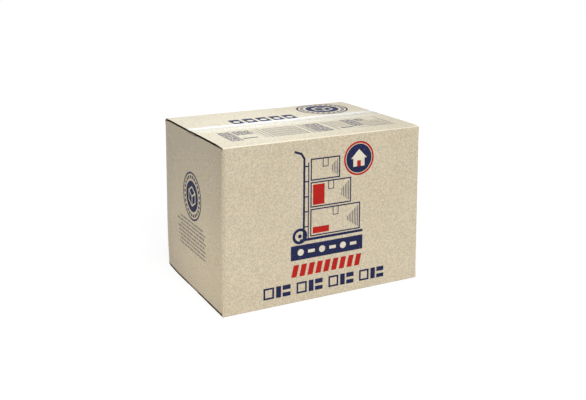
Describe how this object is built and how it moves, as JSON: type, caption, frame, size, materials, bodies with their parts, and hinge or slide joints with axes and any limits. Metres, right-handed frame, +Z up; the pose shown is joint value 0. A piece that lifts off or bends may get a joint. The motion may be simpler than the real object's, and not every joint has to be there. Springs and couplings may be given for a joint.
{
  "type": "moving carton",
  "caption": "Small corrugated moving carton, closed, with crowned top flaps and clear tape along the seams.",
  "frame": {"origin": "centre of the carton's footprint, on the floor it stands on", "axes": "+Z up, X along the long side and the taped seam, -Y out of the printed long front panel"},
  "size_m": [0.4066, 0.288, 0.3092],
  "materials": {
    "board": "matt kraft liner, lightly mottled",
    "tape": "clear glossy packing tape"
  },
  "bodies": {
    "root": {"carton": "board", "top_tape": "tape", "bottom_tape": "tape"}
  },
  "joints": []
}
